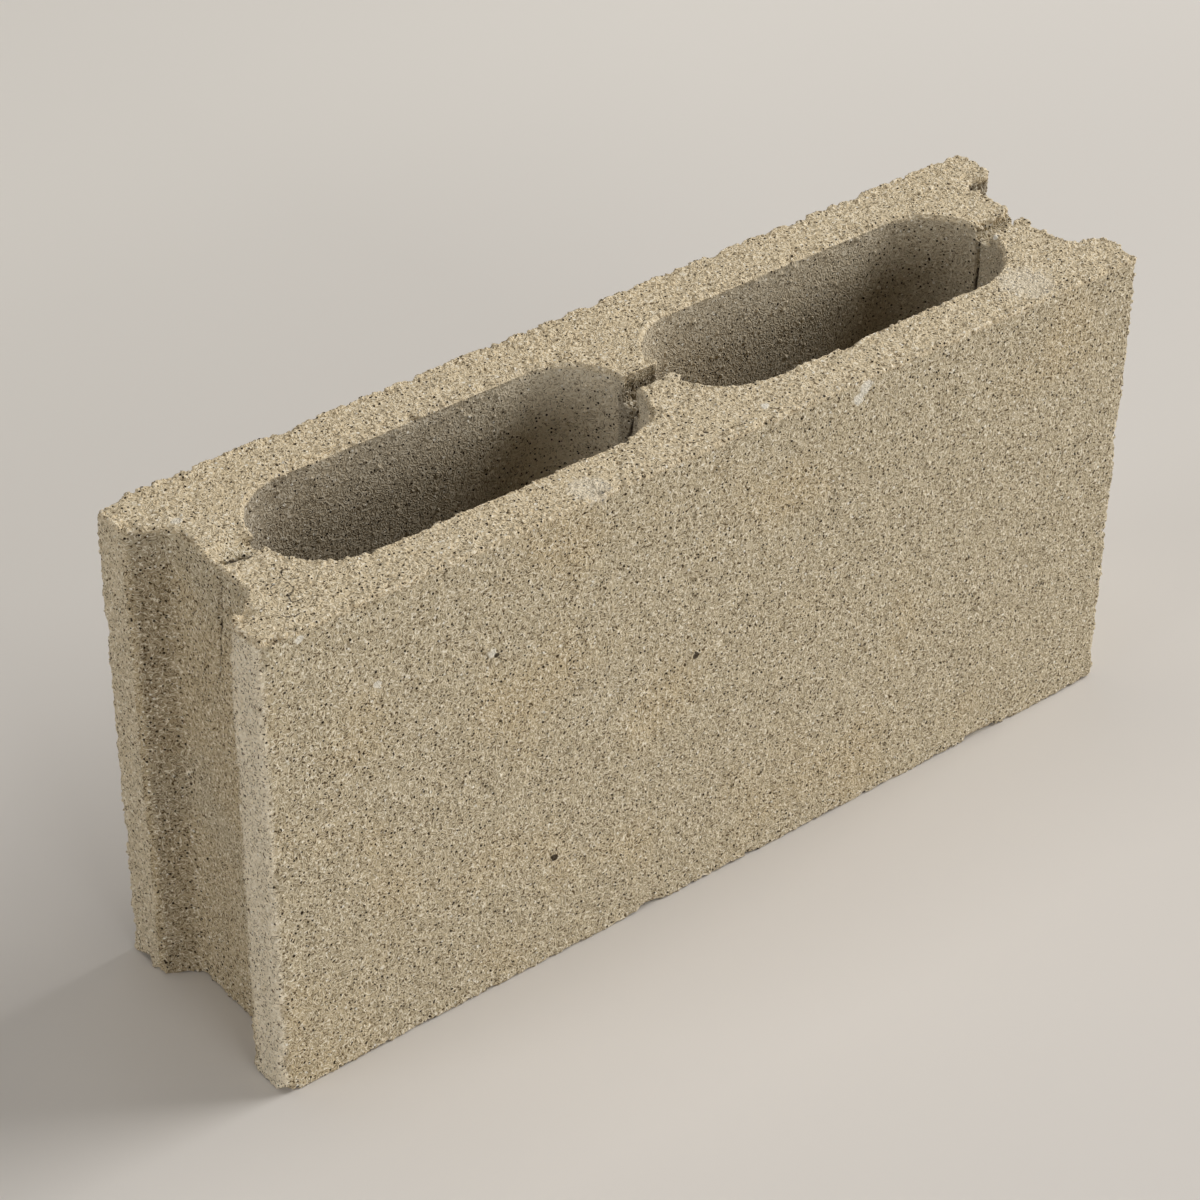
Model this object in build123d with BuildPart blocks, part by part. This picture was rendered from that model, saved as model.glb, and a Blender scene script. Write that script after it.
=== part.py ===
"""Hollow concrete block, cast as one piece.

Two cores with rounded ends run right through from top to bottom. Each end has an upright groove
between two ears, which closes with the next block in a wall, and narrow slots across the tops of
the webs are left by the bars that hold the core moulds. The block is drawn as it leaves its mould:
the slots are on top, and cores and grooves narrow a little downwards so that the mould lifts off.
"""

import os

from build123d import *

# Outside of the block (mm), the size that the courses of a wall are set out to
length = 400.0
width = 100.0
height = 200.0

# Walls, where they are thinnest on the top face
face_shell = 22.0
end_web = 19.0
middle_web = 14.0

# Upright groove in each end
groove_depth = 15.0
groove_mouth = 64.0
groove_back = 48.0
groove_corner = 8.0
ear_bevel = 3.0

# Draft of everything that the mould forms inside the block (degrees)
mould_draft = 0.45

# Slots that the core bar leaves across the webs
bar_slot_width = 8.0
middle_slot_depth = 12.0
end_slot_depth = 6.0
slot_shoulder = 2.5

# Edges, as they come out of the mould
outer_corner = 3.0
arris = 1.5
core_bevel = 1.5

# Worked out from the sizes above
core_width = width - 2 * face_shell
core_length = (length - 2 * groove_depth - 2 * end_web - middle_web) / 2
core_spacing = core_length + middle_web
top = Plane.XY.offset(height)


def groove_outline():
    """Corners of the groove in the right-hand end, seen from above, from its front lip to its back."""
    end_face = length / 2
    back_wall = end_face - groove_depth
    slope = (groove_mouth - groove_back) / 2 / groove_depth
    # the ears are bevelled at 45 degrees, and the cut goes on past the end face at that angle
    bevel_start = end_face - ear_bevel
    bevel_half = groove_mouth / 2 - slope * ear_bevel
    outside = end_face + groove_depth
    outside_half = bevel_half + outside - bevel_start
    return [
        (outside, -outside_half),
        (bevel_start, -bevel_half),
        (back_wall, -groove_back / 2),
        (back_wall, groove_back / 2),
        (bevel_start, bevel_half),
        (outside, outside_half),
    ]


with BuildPart() as block:
    # The outside of the block: one upright prism
    with BuildSketch(top):
        Rectangle(length, width)
    extrude(amount=-height)
    fillet(block.edges().filter_by(Axis.Z), outer_corner)

    # The two cores, straight-sided with full-round ends
    with BuildSketch(top):
        with GridLocations(core_spacing, 0, 2, 1):
            SlotOverall(core_length, core_width)
    extrude(amount=-height, taper=mould_draft, mode=Mode.SUBTRACT)

    # The grooves in the ends
    with BuildSketch(top) as grooves:
        with BuildLine():
            Polyline(groove_outline(), close=True)
        make_face()
        fillet(grooves.vertices().group_by(Axis.X)[0], groove_corner)
        mirror(about=Plane.YZ)
    extrude(amount=-height, taper=mould_draft, mode=Mode.SUBTRACT)

    # The arrises of both bed faces: rounded outside, broken off at a bevel round the cores
    for bed_face in block.faces().filter_by(Axis.Z):
        fillet(bed_face.outer_wire().edges(), arris)
    core_rims = [
        edge
        for bed_face in block.faces().filter_by(Axis.Z)
        for rim in bed_face.inner_wires()
        for edge in rim.edges()
    ]
    chamfer(core_rims, core_bevel)

    # The slots of the core bar across the three webs, with rounded shoulders
    for web_x, slot_depth in (
        (-core_spacing, end_slot_depth),
        (0, middle_slot_depth),
        (core_spacing, end_slot_depth),
    ):
        with BuildSketch(Plane.YZ.offset(web_x)) as slot:
            with Locations((0, height)):
                Rectangle(bar_slot_width, 2 * slot_depth)
            with Locations((0, height + slot_depth / 2)):
                Rectangle(width, slot_depth)
            shoulders = slot.vertices().filter_by(
                lambda corner: abs(corner.Y - height) < 0.01 and abs(corner.X) < width / 4
            )
            fillet(shoulders, slot_shoulder)
        extrude(amount=core_spacing / 2, both=True, mode=Mode.SUBTRACT)

block.part.label = "block"
os.makedirs("parts", exist_ok=True)
export_step(block.part, "parts/block.step")

print(f"cores {core_length:.1f} x {core_width:.1f} mm, {core_spacing:.1f} mm apart")
print(f"volume {block.part.volume / 1e6:.3f} litres")
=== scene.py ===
# %% [markdown]
# # A hollow concrete block
#
# A concrete block is cast in one go: a dry mix of sand, small stones and cement is shaken into a
# steel mould, pressed and pushed out straight away. It is one piece, so the lesson makes one main
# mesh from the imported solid, roughens it the way the mix does, and gives it one material. The
# loose things on it, pale stones and crumbs, are small meshes of their own, sunk into the face.

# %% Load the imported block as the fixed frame
import math

import bmesh
import bpy
import numpy as np
from mathutils import Matrix, Vector, noise


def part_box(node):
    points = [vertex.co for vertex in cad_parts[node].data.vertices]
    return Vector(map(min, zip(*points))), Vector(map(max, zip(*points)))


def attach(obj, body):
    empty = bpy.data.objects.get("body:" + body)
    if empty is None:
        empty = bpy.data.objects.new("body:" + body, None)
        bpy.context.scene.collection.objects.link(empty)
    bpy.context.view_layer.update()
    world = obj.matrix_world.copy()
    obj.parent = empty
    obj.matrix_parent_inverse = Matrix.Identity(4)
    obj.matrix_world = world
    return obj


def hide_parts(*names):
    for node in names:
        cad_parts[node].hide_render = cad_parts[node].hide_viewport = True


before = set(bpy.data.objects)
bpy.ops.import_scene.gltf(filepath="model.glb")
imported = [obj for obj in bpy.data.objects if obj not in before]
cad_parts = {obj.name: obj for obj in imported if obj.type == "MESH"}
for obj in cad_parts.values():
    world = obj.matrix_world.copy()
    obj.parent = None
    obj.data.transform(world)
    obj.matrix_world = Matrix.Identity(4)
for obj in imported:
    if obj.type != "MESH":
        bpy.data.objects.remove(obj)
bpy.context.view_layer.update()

mm = 0.001
low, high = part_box("block")
print("the solid is", [round((b - a) / mm, 1) for a, b in zip(low, high)], "mm")

# %% [markdown]
# ## One closed mesh with even faces
#
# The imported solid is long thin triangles, which can't be dented. The Remesh modifier in its voxel
# mode will wrap it in an even net of small quads instead, finer than the sand grains that show at
# the edges, and the Decimate modifier thins it again at the end. First comes a copy to work on,
# with the corners that its faces share joined up.

# %% A copy to work on
net_size = 0.85 * mm


def new_object(name, mesh):
    """An object at the origin that shows the mesh."""
    piece = bpy.data.objects.new(name, mesh)
    bpy.context.scene.collection.objects.link(piece)
    return piece


def apply_modifiers(piece):
    """Bakes the piece's modifiers into its mesh."""
    depsgraph = bpy.context.evaluated_depsgraph_get()
    shaped = bpy.data.meshes.new_from_object(piece.evaluated_get(depsgraph))
    piece.modifiers.clear()
    piece.data = shaped


block = new_object("concrete_block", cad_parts["block"].data.copy())
welded = bmesh.new()
welded.from_mesh(block.data)
bmesh.ops.remove_doubles(welded, verts=welded.verts, dist=0.01 * mm)
welded.to_mesh(block.data)
welded.free()

# %% [markdown]
# ## What the slots have kept
#
# The bar that holds the core moulds leaves a slot across each web. In this block none came out
# clean. Mix fell back into the left one and nearly closed it, the right one is narrow at the
# groove, and the shoulders of all three stand up sharp in places. Each of these is a plain box,
# given by two opposite corners in mm, and joined to the copy of the solid. The remeshing below
# melts it in, and the relief roughens it like the rest.

# %% Add the mix that fell back into the slots
slot_fills = {
    "mix in the left slot": ((-184.6, -6, 190), (-166.5, 6, 199.3), 3.5),
    "near side of the right slot": ((175, -6, 190), (184.6, -1.8, 199.8), 0),
    "near shoulder of the right slot": ((166.5, -9, 190), (184.6, -4.2, 199.9), 0),
    "far shoulder of the right slot": ((166.5, 4, 190), (181, 9, 199.9), 0),
    "near shoulder of the left slot": ((-184.6, -9, 190), (-166.5, -5.4, 199.9), 0),
    "near shoulder of the middle slot": ((-7.2, -9, 188), (8.4, -5.4, 199.9), 0),
    "far shoulder of the middle slot": ((-7.2, 3.9, 190), (8.6, 9, 199.9), 0),
}


def add_fill(shape, corner, opposite, slope):
    """Adds a box between two corners in mm, its top lowered by the slope at the end with larger X."""
    size = Vector(opposite) - Vector(corner)
    middle = (Vector(corner) + size / 2) * mm
    box = bmesh.ops.create_cube(shape, size=1)["verts"]
    bmesh.ops.scale(shape, vec=size * mm, verts=box)
    bmesh.ops.translate(shape, vec=middle, verts=box)
    lowered = [point for point in box if point.co.z > middle.z and point.co.x > middle.x]
    bmesh.ops.translate(shape, vec=(0, 0, -slope * mm), verts=lowered)


filled = bmesh.new()
filled.from_mesh(block.data)
for corner, opposite, slope in slot_fills.values():
    add_fill(filled, corner, opposite, slope)
filled.to_mesh(block.data)
filled.free()
print("the copy has", len(block.data.polygons), "faces before it is wrapped")

# %% [markdown]
# ## Wrapping
#
# The fills still pass through the copy, and the copy's own faces are long thin triangles. The
# Remesh modifier keeps only the outside of it all, as one closed skin of small even faces.

# %% Wrap the solid in an even net
net = block.modifiers.new("even net", "REMESH")
net.mode = "VOXEL"
net.voxel_size = net_size
apply_modifiers(block)
print("the net has", len(block.data.vertices), "points")

# %% [markdown]
# ## Where the edges are
#
# Fresh concrete crumbles where it sticks out: along the arrises, the rims of the cores and the
# lips of the grooves. To find those places, a copy of the mesh is smoothed. A point on an edge
# sinks into the smoothed copy, one in a corner comes out of it, and one on a flat face stays.

# %% Measure how far each point stands out
def coordinates(mesh, what="co"):
    """Every vertex's position, or its normal, as rows of three numbers."""
    flat = np.empty(len(mesh.vertices) * 3)
    mesh.vertices.foreach_get(what, flat)
    return flat.reshape(-1, 3)


edge_reach = 3.5 * mm
smoothing_rounds = int(2 * (edge_reach / net_size) ** 2) + 1
softener = block.modifiers.new("softened", "SMOOTH")
softener.factor = 0.5
softener.iterations = smoothing_rounds
depsgraph = bpy.context.evaluated_depsgraph_get()
softened = bpy.data.meshes.new_from_object(block.evaluated_get(depsgraph))
block.modifiers.clear()

points = coordinates(block.data)
soft_points = coordinates(softened)
outward = coordinates(softened, "normal")
standing_out = ((points - soft_points) * outward).sum(1) / mm
print("points stand out by", np.round(np.percentile(standing_out, (0, 1, 50, 99, 100)), 2), "mm")

# %% [markdown]
# ## The relief of the concrete
#
# A block's face is never flat: it waves a little, it has lumps where the mix was packed harder,
# it shows its larger grains, and here and there a hollow where a grain fell out. Each of these is
# one layer of noise of its own size. The layers only cut inwards, so the block keeps its size.
# The walls that the steel mould slid along are smoother than the rest.

# %% Layers of noise
def shifted(places, size, seed):
    """The places measured in lumps of the given size, each seed in another part of space."""
    shift = Vector((seed * 3.1, seed * 7.7, seed * 13.3))
    return [Vector(place) + shift for place in (places / size).tolist()]


def noise_at(places, size, seed):
    """Noise from about -1 to 1 at each place, with lumps of the given size."""
    spots = shifted(places, size, seed)
    return np.array([noise.noise(spot, noise_basis="PERLIN_NEW") for spot in spots])


def cells_at(places, size, seed):
    """Distance from each place to the nearest of scattered points, in cell sizes."""
    return np.array([noise.voronoi(spot)[0][0] for spot in shifted(places, size, seed)])


def ramp(values, start, end):
    """0 up to start, 1 from end on, and a smooth rise between them."""
    share = np.clip((values - start) / (end - start), 0, 1)
    return share * share * (3 - 2 * share)


def near_to(middle, reach):
    """How far each point is from a place in mm, in shares of the reach."""
    return np.linalg.norm(points / mm - np.array(middle), axis=1) / reach


# each core is two half rounds, drawn about points on both sides of its middle
core_middle = 86.5 * mm
core_straight = 51.5 * mm
core_radius = 28 * mm
groove_wall = high.x - 15 * mm

x, y, z = points.T
from_core = np.hypot(np.maximum(abs(abs(x) - core_middle) - core_straight, 0), y) - core_radius
in_core = 1 - ramp(from_core, 0.5 * mm, 2 * mm)
in_groove = ramp(abs(x), groove_wall - 1 * mm, groove_wall) * (1 - ramp(abs(y), 26 * mm, 31 * mm))
below_rim = 1 - ramp(z, high.z - 6 * mm, high.z - 1 * mm)
mould_side = np.maximum(in_core, in_groove) * below_rim

wave = 0.3 * noise_at(points, 34 * mm, 1)
lump = 0.45 * noise_at(points, 7.5 * mm, 2) + 0.5 * noise_at(points, 3.2 * mm, 3)
hollow_near = cells_at(points, 13 * mm, 5)
hollow = 1.2 * (1 - ramp(hollow_near, 0.04, 0.13))
relief = (wave + lump) * (1 - 0.6 * mould_side) - hollow * (1 - 0.7 * mould_side)
print("relief", np.round(np.percentile(relief, (0, 5, 50, 95, 100)), 2), "mm")

# %% [markdown]
# ## Worn edges
#
# The arrises of a new block are crumbly from the start: the mix isn't held there once the mould
# is off, and each knock takes some more. The wear is deepest where the block stands out most, and
# it comes and goes along an edge, with a bite of several millimetres now and then.

# %% Wear along the edges
edge = ramp(standing_out, 0.12, 0.45)
crumble = 1.1 * noise_at(points, 9 * mm, 6) + 2.2 * noise_at(points, 3.1 * mm, 7) - 0.4
bite = 3.0 * ramp(noise_at(points, 19 * mm, 8), 0.25, 0.5)
far_top = ramp(y, 38 * mm, 46 * mm) * ramp(z, 185 * mm, 196 * mm)
wear = edge * np.maximum(crumble + bite + 0.4 * far_top, 0)

still_sharp = {
    "near peak of the middle web": ((8.5, -6.5, 199.5), 8.0),
    "far tip of the middle web": ((8.5, 4.0, 199.5), 7.0),
    "near peak of the right web": ((184.0, -2.5, 199.5), 6.0),
    "far tip of the right web": ((180.0, 7.0, 199.5), 5.0),
    "tip of the right far ear": ((199.0, 33.0, 199.0), 7.0),
    "top of the near ear": ((-196.0, -36.0, 199.5), 5.0),
}
for middle, reach in still_sharp.values():
    wear = wear * ramp(near_to(middle, reach), 0.5, 1.0)

# nothing may stand out of the solid, so the net lies inside it, with some room for the grains
highest_relief = np.percentile(relief, 95)
grain_room = 0.2
crest = ramp(standing_out, 0.2, 0.42)
depth = np.maximum(highest_relief - relief, 0) + grain_room + wear - 0.6 * crest
print("worn by up to", round(float(wear.max()), 1), "mm")

# %% [markdown]
# ## Chips of this one block
#
# Some places are this block's own: a hole where the left slot is still open, a broken corner of
# the near ear, dents in the ends of the webs. Each is a soft-edged ball with a middle, a reach and
# a push in mm. It pushes the surface in, or out where its push is negative. Noise in the distance
# gives it a ragged rim.

# %% Push in the chips
chips = {
    "hole of the left slot": ((-174.5, -3.2, 198.0), 4.5, 8.0),
    "crease beside it": ((-181.5, -1.8, 199.5), 3.2, 2.2),
    "crease at the groove": ((-188.5, -5.5, 199.5), 3.0, 1.6),
    "near ear's inner lip": ((-192.8, -30.5, 199.0), 5.0, 2.2),
    "near ear's tip": ((-197.5, -33.5, 198.0), 4.0, 2.0),
    "far ear's lip": ((-196.5, 33.5, 198.0), 5.5, 1.6),
    "end of the right far web": ((185.0, 4.0, 199.0), 4.0, 2.5),
    "flank of the right far ear": ((189.5, 27.0, 197.5), 7.5, 4.5),
    "core side of the right web": ((169.5, 4.5, 199.5), 3.5, 2.2),
    "middle web, far side": ((5.5, 6.5, 199.5), 3.0, 1.5),
    "floor of the middle slot": ((-7.5, -3.4, 189.0), 4.0, 3.0),
    "peak of the middle web": ((8.0, -7.0, 199.5), 4.5, -1.0),
    "far tip of the middle web": ((7.5, 5.5, 199.5), 4.0, -0.8),
    "far left corner": ((-199.5, 49.5, 199.5), 4.5, 1.5),
    "foot of the near ear": ((-199.0, -49.0, 1.0), 5.0, 2.0),
}
ragged = 0.35 * noise_at(points, 3.0 * mm, 21)
for middle, reach, push in chips.values():
    depth = depth + push * (1 - ramp(near_to(middle, reach) + ragged, 0.2, 1.0))
print(len(chips), "chips, hollows and peaks")

# %% [markdown]
# ## Seams below the slots
#
# Under each slot the two halves of the mix met again and left a fine upright seam, which opens
# towards the top. A seam is a line on one wall, so its distance is taken along Y only, and noise
# makes it wander. The finish below paints shade into the same lines, because they are too fine
# for the net.

# %% Cut the seams
seams = {
    "left groove": dict(wall=-185.0, y=-4.8, top=195.5, drift=0.10, down=60.0, half=0.5),
    "left core": dict(wall=-8.0, y=-2.7, top=190.0, drift=0.24, down=30.0, half=0.9),
    "right core": dict(wall=166.0, y=2.1, top=194.0, drift=0.0, down=48.0, half=0.6),
}
wander = 1.0 * noise_at(points, 6 * mm, 31)
for seam in seams.values():
    below = seam["top"] - z / mm
    aside = abs(y / mm - seam["y"] - seam["drift"] * below + wander)
    open_share = ramp(below, -1, 1) * (1 - ramp(below, 0.2 * seam["down"], seam["down"]))
    near_wall = 1 - ramp(abs(x / mm - seam["wall"]), 4, 6)
    depth = depth + 1.6 * near_wall * open_share * (1 - ramp(aside, 0.5, 0.8 + seam["half"]))

shaped = points - outward * (depth * mm)[:, None]
shaped = np.clip(shaped, np.array(low), np.array(high))
block.data.vertices.foreach_set("co", shaped.ravel())
block.data.update()
block_net = block.data
print("the net now lies up to", round(float(depth.max()), 1), "mm inside the solid")

# %% [markdown]
# ## Fewer faces
#
# Decimate's collapse mode takes the faces away where the surface is nearly flat. A vertex group
# tells it where faces can be spared: most of all inside the cores and on the underside, and
# least along the worn edges, which are seen against the light.

# %% Thin the net
most_faces = 196_000
spare = np.clip(0.8 - edge, 0.1, 1)
spare = np.maximum(spare, np.maximum(in_core * below_rim, 1 - ramp(z, 0 * mm, 3 * mm)))
spare_group = block.vertex_groups.new(name="faces to spare")
for level in range(1, 11):
    chosen = np.flatnonzero(np.round(spare * 10) == level)
    spare_group.add(chosen.tolist(), level / 10, "REPLACE")
thin = block.modifiers.new("fewer faces", "DECIMATE")
thin.ratio = min(1.0, most_faces / (2 * len(block.data.polygons)))
thin.vertex_group = spare_group.name
thin.vertex_group_factor = 0.3
apply_modifiers(block)
block.vertex_groups.clear()
thinned = np.clip(coordinates(block.data), np.array(low), np.array(high))
block.data.vertices.foreach_set("co", thinned.ravel())
for face in block.data.polygons:
    face.use_smooth = True
block.data.set_sharp_from_angle(angle=math.radians(40))
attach(block, "root")
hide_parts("block")
print("the block has", sum(len(face.vertices) - 2 for face in block.data.polygons), "triangles")

# %% [markdown]
# ## Sand grains
#
# The coarse sand, one to three millimetres across, stands a little proud of the paste wherever
# you look, and makes the fine bumps that show against the light. A net that is fine enough for
# them would have millions of faces. Instead, some thirty thousand small stones are scattered over
# the face, each a jittered icosphere of twenty triangles that sits half in the paste. The edges
# carry crumbs of their own, further apart and sunk deeper. They are joined into a few meshes, one
# for each part of the block, so that no mesh grows too large.

# %% A small stone, and a mesh of many
chance = np.random.default_rng(11)


def one_for_each_cell(places, cell):
    """Indices of places, in random order, of which each cube of space has at most one."""
    order = chance.permutation(len(places))
    cubes = np.floor(places[order] / cell).astype(int)
    kept = np.unique(cubes, axis=0, return_index=True)[1]
    return order[np.sort(kept)]


def stone_shape():
    """Corners and faces of a small round stone of radius 1."""
    stone = bmesh.new()
    bmesh.ops.create_icosphere(stone, subdivisions=1, radius=1)
    corners = np.array([corner.co for corner in stone.verts])
    faces = np.array([[corner.index for corner in face.verts] for face in stone.faces])
    stone.free()
    return corners, faces


def scatter(name, centres, normals, radii, sunk):
    """One mesh of many small stones, each turned and jittered by chance, inside the block's box."""
    corners, faces = stone_shape()
    count = len(centres)
    turns = np.linalg.qr(chance.normal(size=(count, 3, 3)))[0]
    stretch = chance.uniform(0.7, 1.25, (count, 1, 3))
    jitter = chance.uniform(0.82, 1.12, (count, len(corners), 1))
    stones = np.einsum("nij,nkj->nki", turns, corners[None] * jitter * stretch)
    middles = centres - normals * (radii * sunk)[:, None]
    stones = middles[:, None] + stones * radii[:, None, None]
    stones = np.clip(stones, np.array(low), np.array(high)).reshape(-1, 3)
    places = (faces[None] + len(corners) * np.arange(count)[:, None, None]).reshape(-1, 3)
    mesh = bpy.data.meshes.new(name)
    mesh.from_pydata(stones.tolist(), [], places.tolist())
    tidy = bmesh.new()
    tidy.from_mesh(mesh)
    bmesh.ops.recalc_face_normals(tidy, faces=tidy.faces)
    tidy.to_mesh(mesh)
    tidy.free()
    for face in mesh.polygons:
        face.use_smooth = True
    piece = new_object(name, mesh)
    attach(piece, "root")
    print(name, "has", count, "stones and", len(mesh.polygons), "triangles")
    return piece


# %% [markdown]
# ## Where the stones lie
#
# The net's own points are the places to choose from, thinned so that each small cube of space
# keeps one at most. The mould's smooth walls and the underside get fewer than the faces.

# %% Scatter the grains and crumbs
grain_spacing = 2.7 * mm
grain_radius = (0.6 * mm, 1.5 * mm)
most_grains = 9_700
crumb_spacing = 5.5 * mm
crumb_radius = (0.6 * mm, 1.6 * mm)

net_normals = coordinates(block_net, "normal")
spots = one_for_each_cell(shaped, grain_spacing)
wanted = 1 - 0.75 * in_core[spots] - 0.5 * in_groove[spots] * (1 - in_core[spots])
wanted *= 0.3 + 0.7 * ramp(shaped[spots, 2], 0, 2 * mm)
spots = spots[chance.random(len(spots)) < wanted]
on_edges = np.flatnonzero(edge > 0.6)
crumb_spots = on_edges[one_for_each_cell(shaped[on_edges], crumb_spacing)]
parts_of_face = {
    "grains_front": (abs(outward[spots, 1]) > 0.7) & (y[spots] < 0),
    "grains_back": (abs(outward[spots, 1]) > 0.7) & (y[spots] >= 0),
}
parts_of_face["grains_beds"] = ~parts_of_face["grains_front"] & ~parts_of_face["grains_back"]
grains = []
for name, chosen in parts_of_face.items():
    here = spots[chosen]
    if len(here) > most_grains:
        here = chance.permutation(here)[:most_grains]
    radii = chance.uniform(*grain_radius, len(here))
    sunk = chance.uniform(0.25, 0.7, len(here))
    grains.append(scatter(name, shaped[here], net_normals[here], radii, sunk))

crumb_radii = chance.uniform(*crumb_radius, len(crumb_spots))
crumb_sunk = chance.uniform(0.45, 0.95, len(crumb_spots))
crumb_places = shaped[crumb_spots]
crumb_normals = net_normals[crumb_spots]
grains.append(scatter("edge_crumbs", crumb_places, crumb_normals, crumb_radii, crumb_sunk))

# %% [markdown]
# ## Shader maths as expressions
#
# A finish is a small calculation at each point of the surface. Written node by node it is hard to
# read, so a Wire stands for one socket, and plus, minus, times and divide on wires add the Math
# nodes.

# %% Wires and a finish
class Wire:
    """A shader socket that takes part in ordinary maths."""

    def __init__(self, finish, socket):
        self.finish = finish
        self.socket = socket

    def __add__(self, other):
        return self.finish.maths("ADD", self, other)

    __radd__ = __add__

    def __sub__(self, other):
        return self.finish.maths("SUBTRACT", self, other)

    def __rsub__(self, other):
        return self.finish.maths("SUBTRACT", other, self)

    def __mul__(self, other):
        return self.finish.maths("MULTIPLY", self, other)

    __rmul__ = __mul__

    def __truediv__(self, other):
        return self.finish.maths("DIVIDE", self, other)

    def __abs__(self):
        return self.finish.maths("ABSOLUTE", self)

    def other(self, name):
        """Another output of the same node."""
        return Wire(self.finish, self.socket.node.outputs[name])


class Finish:
    """A material, with short ways to add its nodes."""

    def __init__(self, name):
        self.material = bpy.data.materials.new(name)
        self.material.use_nodes = True
        self.tree = self.material.node_tree
        self.tree.nodes.clear()

    def node(self, kind, settings=None, sockets=None, output=0):
        """One node: its settings first, then what its sockets hold or are linked to."""
        made = self.tree.nodes.new("ShaderNode" + kind)
        for name, value in (settings or {}).items():
            setattr(made, name, value)
        for name, value in (sockets or {}).items():
            if isinstance(value, Wire):
                self.tree.links.new(value.socket, made.inputs[name])
            else:
                made.inputs[name].default_value = value
        return Wire(self, made.outputs[output])

    def show(self, surface):
        """Makes the surface what the material shows."""
        end = self.tree.nodes.new("ShaderNodeOutputMaterial")
        self.tree.links.new(surface.socket, end.inputs["Surface"])

    def maths(self, operation, *values):
        return self.node("Math", {"operation": operation}, dict(enumerate(values)))

    def larger(self, first, second):
        return self.maths("MAXIMUM", first, second)

    def ramp(self, value, start, end):
        """0 up to start, 1 from end on, and a smooth rise between them."""
        return self.node(
            "MapRange",
            {"interpolation_type": "SMOOTHSTEP"},
            {"Value": value, "From Min": start, "From Max": end},
        )

    def fall(self, value, start, end):
        """1 up to start, 0 from end on, and a smooth fall between them."""
        return 1 - self.ramp(value, start, end)

    def mix(self, share, first, second):
        """A colour between two colours."""
        return self.node("Mix", {"data_type": "RGBA"}, {0: share, 6: first, 7: second}, 2)

    def noise(self, place, size, detail=0.0, distortion=0.0):
        """Noise with lumps of about the given size in millimetres."""
        sockets = {"Vector": place, "Scale": 1 / size, "Detail": detail, "Distortion": distortion}
        return self.node("TexNoise", {"noise_dimensions": "3D"}, sockets)

    def flecks(self, place, spacing, radius, spread, rim):
        """Scattered round flecks: 1 on them, 0 off. Radius, spread and rim are in spacings."""
        cells = self.node("TexVoronoi", None, {"Vector": place, "Scale": 1 / spacing})
        pick = self.node("SeparateColor", None, {0: cells.other("Color")})
        return self.fall(cells - spread * pick, radius, radius + rim)

    def distance(self, place, middle):
        """Millimetres from each point to a named place."""
        return self.node("VectorMath", {"operation": "DISTANCE"}, {0: place, 1: middle}, "Value")


# %% [markdown]
# ## Colours of the mix
#
# Dry concrete is grey cement, but this mix is made with buff sand, so that its paste is a pale
# yellowish grey. Several colours here are painted light and shade: a darker one is painted shade in
# the cores, the groove flanks and the slot, two paler ones are painted light on the ears and the top,
# the brown is painted shade in the creases between the grains, where light that has been reflected
# twice takes on colour, the near white is a painted highlight on their rims, and the near black is
# painted shade in pits, seams, cracks and the slot's hole, and also the colour of a few dark spots.

# %% The colours
def shade(red, green, blue):
    """A colour for a shader from the red, green and blue of a screen."""
    return tuple((value / 255) ** 2.2 for value in (red, green, blue)) + (1.0,)


warm_paste = shade(203, 185, 151)
cool_paste = shade(200, 185, 155)
core_paste = shade(205, 192, 169)
# painted shade for the cores, the far flanks of the grooves and the slot floor
core_shade = shade(124, 114, 99)
# painted light for the ends of the ears and the end of the left core by the middle web
painted_light_paste = shade(240, 226, 199)
# painted light for the top
painted_top_light = shade(224, 205, 171)
# painted shade in the creases, and a painted highlight on the rims beside them
stroke_dark = shade(76, 57, 33)
stroke_pale = shade(252, 243, 224)
# painted shade in pits, seams, cracks and the slot's hole, also the colour of dark spots
pit_dark = shade(42, 30, 18)
speck_white = shade(246, 240, 226)
print("the paste is", np.round(warm_paste[:3], 2), "in the shader's own numbers")

# %% [markdown]
# ## Lighter and darker parts
#
# One mix doesn't dry in one tone, so the paste goes from cooler to warmer in broad patches, and
# the walls of the cores are a cooler paste. The rest is painted light and shade, each a soft-edged
# zone by place: painted shade that darkens the cores downwards, the left core more, the far flank
# of each groove and the floor of the middle slot, and painted light on the end of the left core
# beside the middle web, on the top and on the ends of the ears.

# %% Tints by place
def core_wall_share(finish, x, y):
    """1 on the walls of the two cores, 0 off them: the distance from each core's middle line."""
    beyond = finish.larger(abs(abs(x) - core_middle / mm) - core_straight / mm, 0)
    from_middle_line = finish.maths("SQRT", beyond * beyond + y * y)
    return finish.fall(from_middle_line, core_radius / mm + 0.6, core_radius / mm + 1.6)


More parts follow.
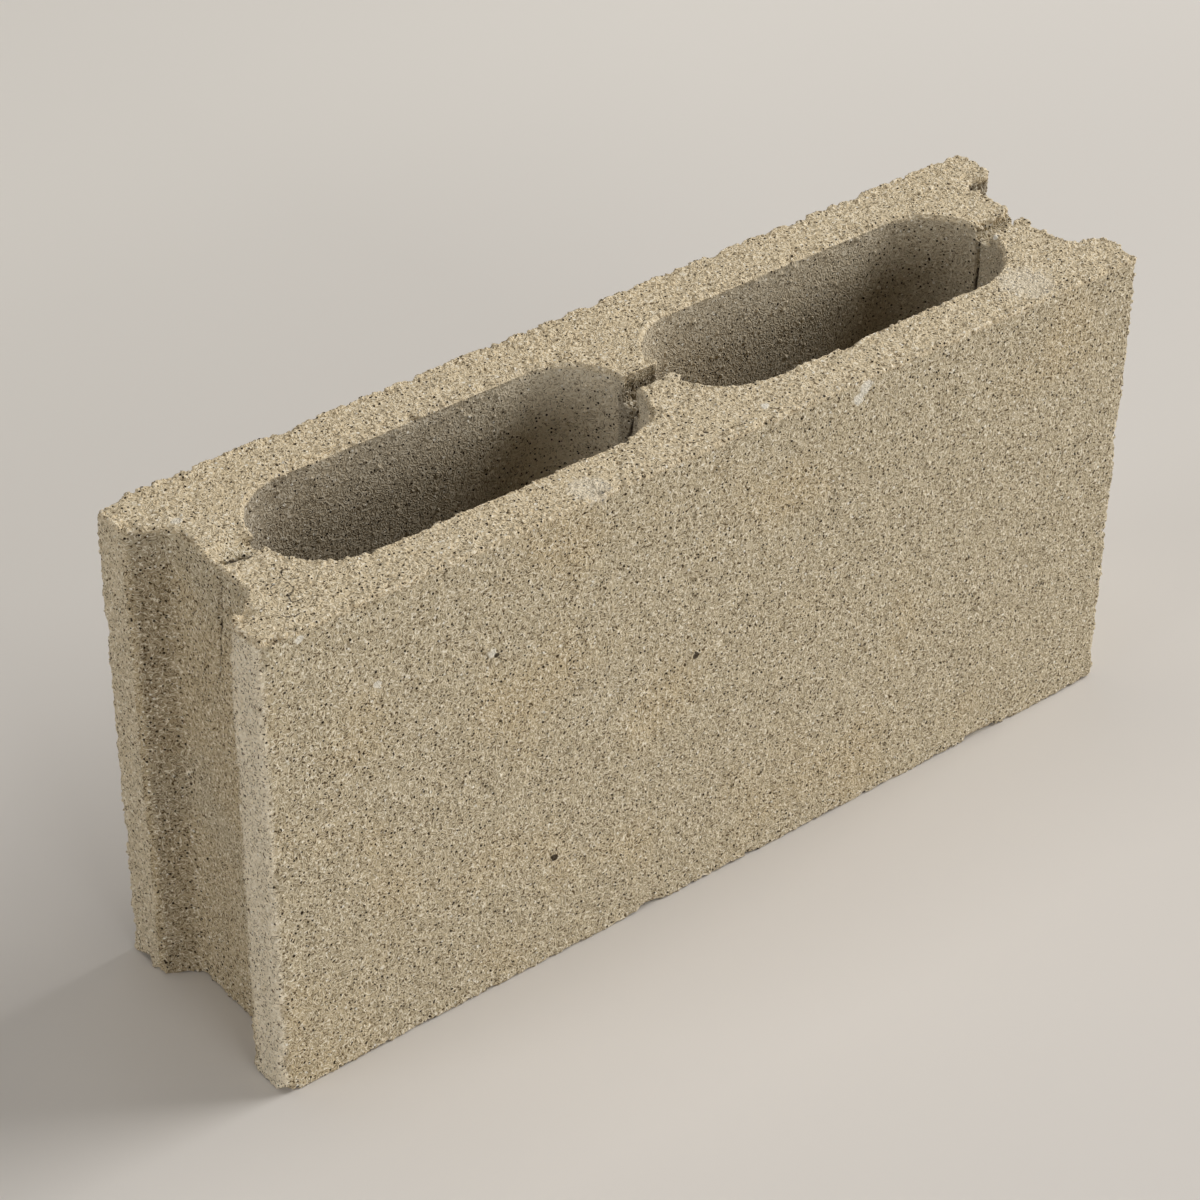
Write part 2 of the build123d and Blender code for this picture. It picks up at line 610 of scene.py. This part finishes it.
def paste_with_painted_light(finish, place, x, y, z, core_wall):
    """The paste's colour without its grains, with light and shade painted in by place."""
    patch = finish.noise(place, 50.0, detail=1.0) + 0.0020 * y - 0.0004 * x
    colour = finish.mix(finish.ramp(patch, 0.40, 0.62), cool_paste, warm_paste)

    colour = finish.mix(core_wall * 0.6, colour, core_paste)
    # painted light: the end of the left core beside the middle web is made paler
    painted_light_at_web = core_wall * finish.ramp(x, -50.0, -15.0) * finish.fall(x, 0.0, 1.0)
    colour = finish.mix(painted_light_at_web * 0.8, colour, painted_light_paste)
    # painted shade: the cores darker downwards, and the left core darker, most at its left end
    deep = core_wall * (1 - painted_light_at_web) * finish.fall(z, 120.0, 195.0)
    colour = finish.mix(deep * 0.4, colour, core_shade)
    left_end = core_wall * finish.fall(x, -160.0, -115.0)
    left_core = core_wall * finish.fall(x, -70.0, -30.0)
    colour = finish.mix(left_end * 0.35 + left_core * 0.2, colour, core_shade)

    # painted light: the ends of both ears are made paler, the near ear most
    left_face = finish.fall(x, -199.0, -196.5)
    near_ear = left_face * finish.fall(y, -34.0, -31.0)
    far_ear = left_face * finish.ramp(y, 31.5, 33.0)
    colour = finish.mix(0.95 * near_ear + 0.4 * far_ear, colour, painted_light_paste)
    # painted shade: the far flank of each groove is made darker, the right one more
    in_mouth = finish.ramp(abs(x), 184.5, 186.0) * (1 - left_face)
    far_flank = in_mouth * finish.ramp(y, 20.0, 30.0) * finish.fall(y, 32.2, 33.2)
    right_half = finish.ramp(x, -10.0, 10.0)
    colour = finish.mix(far_flank * (0.4 + 0.4 * right_half), colour, core_shade)

    # painted light: the top is made paler
    colour = finish.mix(0.7 * finish.ramp(z, 197.0, 198.2), colour, painted_top_light)
    # painted shade in the floor of the middle slot
    middle_slot = finish.fall(abs(y), 4.5, 6.5) * finish.fall(abs(x), 11.0, 14.0)
    slot_floor = middle_slot * finish.fall(z, 193.0, 195.5)
    return finish.mix(slot_floor * 0.6, colour, core_shade)


# %% [markdown]
# ## Marks of this one block
#
# Some marks can be pointed at in the photo: pale stones and a smear on the top, dark spots, thin
# curved cracks beside the left slot, its hole and the three seams. Each is a named place with a
# size, and noise makes its rim uneven. The cracks, the seams and the narrow hole are too fine for
# the mesh's faces, so their darkness is painted shade.

# %% Pale stones, dark pits and cracks
pale_spots = (
    ((21.0, -41.7, 200.0), 1.9, 0.8),
    ((58.8, -50.0, 191.5), 2.7, 0.75),
    ((62.0, -50.0, 195.5), 3.2, 0.75),
    ((-106.0, -50.0, 153.5), 2.2, 0.7),
    ((-183.5, -50.0, 195.5), 1.9, 0.8),
    ((-153.7, -50.0, 162.9), 1.8, 0.8),
    ((166.3, -6.1, 200.0), 1.5, 0.9),
    ((-181.9, 25.7, 200.0), 2.2, 0.6),
    ((152.0, -38.0, 200.0), 12.0, 0.25),
    ((-60.0, -44.0, 200.0), 8.0, 0.3),
)
dark_dots = (
    ((-5.9, -41.4, 199.5), 1.1),
    ((-8.4, -42.3, 199.5), 0.9),
    ((-14.5, -48.6, 199.0), 0.9),
    ((-79.1, -49.5, 47.9), 1.6),
    ((-104.0, -49.5, 151.8), 1.5),
    ((-14.5, -49.5, 110.0), 1.7),
)
crack_arcs = (
    ((-168.6, -22.8, 200.0), 3.0),
    ((-175.5, -28.0, 200.0), 3.6),
    ((-174.1, -34.5, 200.0), 2.6),
    ((-180.2, -39.7, 200.0), 3.2),
)
slot_hole = (-175.0, -3.4)


def pale_marks(finish, place):
    """Pale stones and smears: 1 on them, 0 off."""
    uneven = finish.noise(place, 2.5, detail=1.0) - 0.5
    marks = 0.0
    for middle, radius, share in pale_spots:
        away = finish.distance(place, middle) / radius + 0.9 * uneven
        marks = finish.larger(marks, share * finish.fall(away, 0.7, 1.05))
    return marks


def dark_marks(finish, place, x, y, z):
    """Painted shade in the slot's hole, the seams and the thin cracks, and the dark spots: 1 on them,
    0 off.
    """
    uneven = finish.noise(place, 4.0, detail=1.0) - 0.5
    # painted shade in the hole of the left slot
    hole_x = abs(x - slot_hole[0] + 2 * uneven) * 0.35
    hole_y = abs(y - slot_hole[1] + 2 * uneven)
    marks = finish.fall(finish.larger(hole_x, hole_y), 1.5, 2.2)
    for middle, radius in dark_dots:
        away = finish.distance(place, middle) / radius + 1.2 * uneven
        marks = finish.larger(marks, finish.fall(away, 0.6, 1.0))
    # painted shade in the seams
    for seam in seams.values():
        below = seam["top"] - z
        aside = abs(y - seam["y"] - seam["drift"] * below + 1.6 * uneven)
        near_wall = finish.fall(abs(x - seam["wall"]), 4.0, 6.0)
        fading = finish.fall(below, 0.3 * seam["down"], seam["down"])
        inside = near_wall * fading * finish.ramp(below, -1.0, 1.0)
        marks = finish.larger(marks, inside * finish.fall(aside, 0.15, 0.15 + seam["half"]))
    # painted shade in the thin cracks
    broken = finish.ramp(finish.noise(place, 3.0), 0.42, 0.5)
    for middle, radius in crack_arcs:
        aside = abs(finish.distance(place, middle) - radius + 2.5 * uneven)
        marks = finish.larger(marks, 0.9 * broken * finish.fall(aside, 0.1, 0.45))
    return marks


# %% [markdown]
# ## The finish of the concrete
#
# Close up, the face is a packed crowd of sand grains of one to three millimetres in the paste.
# Between them run short curled creases, some of them open pits, and a few grains are almost
# white. Level lines of a soft noise curl in the same way, so the sine of a noise draws the
# creases and the pale rims beside them. They are bump, because they are too small for the mesh,
# and the same numbers tint the colour: painted shade in the creases and the pits, and a painted
# highlight on the pale rims.

# %% The concrete
def concrete_finish():
    finish = Finish("grey_buff_concrete")
    object_place = finish.node("TexCoord", output="Object")
    place = finish.node("VectorMath", {"operation": "SCALE"}, {0: object_place, "Scale": 1 / mm})
    x = finish.node("SeparateXYZ", None, {0: place})
    y = x.other("Y")
    z = x.other("Z")

    curls = finish.maths("SINE", finish.noise(place, 1.45, distortion=0.3) * 17)
    strength = finish.ramp(finish.noise(place, 1.6), 0.40, 0.60)
    core_wall = core_wall_share(finish, x, y)
    calm = 1 - 0.1 * finish.ramp(z, 196.5, 198.5) - 0.3 * core_wall
    pale_rim = finish.ramp(curls, 0.55, 1.0) * (0.2 + 0.8 * strength) * calm
    crease = finish.ramp(-1 * curls, 0.7, 1.0) * (1 - 0.85 * strength) * calm
    pit = finish.flecks(place, 2.0, 0.09, 0.14, 0.04)
    speck = finish.flecks(place, 3.8, 0.045, 0.09, 0.03)

    colour = paste_with_painted_light(finish, place, x, y, z, core_wall)
    # painted highlight on the pale rims
    colour = finish.mix(pale_rim * 0.85, colour, stroke_pale)
    # painted shade in the creases
    colour = finish.mix(crease * 0.98, colour, stroke_dark)
    # painted shade in the pits
    colour = finish.mix(pit * 0.95, colour, pit_dark)
    colour = finish.mix(finish.larger(speck * 0.9, pale_marks(finish, place)), colour, speck_white)
    # painted shade in the hole, seams and cracks, and the colour of the dark spots
    colour = finish.mix(dark_marks(finish, place, x, y, z) * 0.9, colour, pit_dark)

    height = curls * 0.27 - pit * 0.9
    relief = finish.node("Bump", None, {"Strength": 0.8, "Distance": 0.6 * mm, "Height": height})
    sockets = {
        "Base Color": colour,
        "Roughness": 0.93,
        "Specular IOR Level": 0.25,
        "Normal": relief,
    }
    finish.show(finish.node("BsdfPrincipled", None, sockets))
    return finish.material


concrete = concrete_finish()
for piece in [block, *grains]:
    piece.data.materials.clear()
    piece.data.materials.append(concrete)
print("the concrete has", len(block.data.materials[0].node_tree.nodes), "nodes")

# %% [markdown]
# ## The room
#
# The block stands on a wide pale sheet, so that the sheet fills the picture to its top edge. It
# gets a little paler behind the block, where less light reaches it, so that it looks even.

# %% The floor
floor_size = 14.0
floor_mesh = bpy.data.meshes.new("floor")
sheet = bmesh.new()
bmesh.ops.create_grid(sheet, x_segments=1, y_segments=1, size=floor_size / 2)
sheet.to_mesh(floor_mesh)
sheet.free()
floor = new_object("floor", floor_mesh)


def floor_finish():
    finish = Finish("pale_sheet")
    place = finish.node("TexCoord", output="Object")
    cloud = finish.node("TexNoise", None, {"Vector": place, "Scale": 1.4, "Detail": 2.0})
    colour = finish.mix(finish.ramp(cloud, 0.3, 0.7), shade(219, 214, 208), shade(216, 211, 206))
    away = finish.node("SeparateXYZ", None, {0: place}, "Y")
    colour = finish.mix(finish.ramp(away, 0.15, 0.6), colour, shade(232, 227, 220))
    surface = finish.node("BsdfPrincipled", None, {"Base Color": colour, "Roughness": 0.9})
    finish.show(surface)
    return finish.material


floor.data.materials.append(floor_finish())
print("the floor is", floor_size, "m wide")

# %% [markdown]
# ## The light
#
# Four large soft lamps light the block. The strongest stands far off on the right and throws the
# broad shadow at the left. The one overhead reaches into the cores, the low one in front lights
# the near face and the floor before it, and a weak one on the left lights the end. The world adds
# hardly anything, because its even light would fill the cores and the shadow.

# %% Lamps and world
side_light = (1.0, 0.99, 0.97)
warm_light = (1.0, 0.97, 0.92)
block_middle = (0, 0, 0.1)
lamps = {
    "right lamp": ((4.0, -1.0, 2.6), 3.0, 218, side_light),
    "top lamp": ((0.0, 0.6, 4.5), 2.6, 46, warm_light),
    "front lamp": ((-0.3, -3.0, 0.9), 1.5, 28, side_light),
    "left lamp": ((-3.0, 0.4, 1.2), 1.8, 25, side_light),
}


def area_lamp(name, position, size, power, colour):
    """A square lamp that faces the block."""
    lamp = bpy.data.lights.new(name, "AREA")
    lamp.shape = "SQUARE"
    lamp.size = size
    lamp.energy = power
    lamp.color = colour
    holder = bpy.data.objects.new(name, lamp)
    bpy.context.scene.collection.objects.link(holder)
    aim = (Vector(block_middle) - Vector(position)).to_track_quat("-Z", "Y")
    holder.matrix_world = Matrix.Translation(position) @ aim.to_matrix().to_4x4()


for name, (position, size, power, colour) in lamps.items():
    area_lamp(name, position, size, power, colour)

world = bpy.data.worlds.new("soft room")
world.use_nodes = True
background = world.node_tree.nodes["Background"].inputs
background["Color"].default_value = (1.0, 0.99, 0.975, 1)
background["Strength"].default_value = 0.03
bpy.context.scene.world = world
print(len(lamps), "lamps of", sum(power for _, _, power, _ in lamps.values()), "W in all")

# %% [markdown]
# ## The camera
#
# The photo looks down on a corner of the block through a long lens, which keeps the upright edges
# almost parallel. The angles are those of a camera fitted to the block's corners.

# %% Camera
camera_place = (-0.677, -0.822, 0.886)
camera_turn = -38.66
camera_down = 36.46
camera_roll = 0.59
camera_lens = 106.0

camera_data = bpy.data.cameras.new("camera")
camera_data.lens = camera_lens
camera_data.sensor_width = 36
camera = bpy.data.objects.new("camera", camera_data)
bpy.context.scene.collection.objects.link(camera)
camera.matrix_world = (
    Matrix.Translation(camera_place)
    @ Matrix.Rotation(math.radians(camera_turn), 4, "Z")
    @ Matrix.Rotation(math.radians(90 - camera_down), 4, "X")
    @ Matrix.Rotation(math.radians(camera_roll), 4, "Z")
)
bpy.context.scene.camera = camera
bpy.context.scene.view_settings.view_transform = "Standard"
print("the camera looks", camera_down, "degrees down through a lens of", camera_lens, "mm")
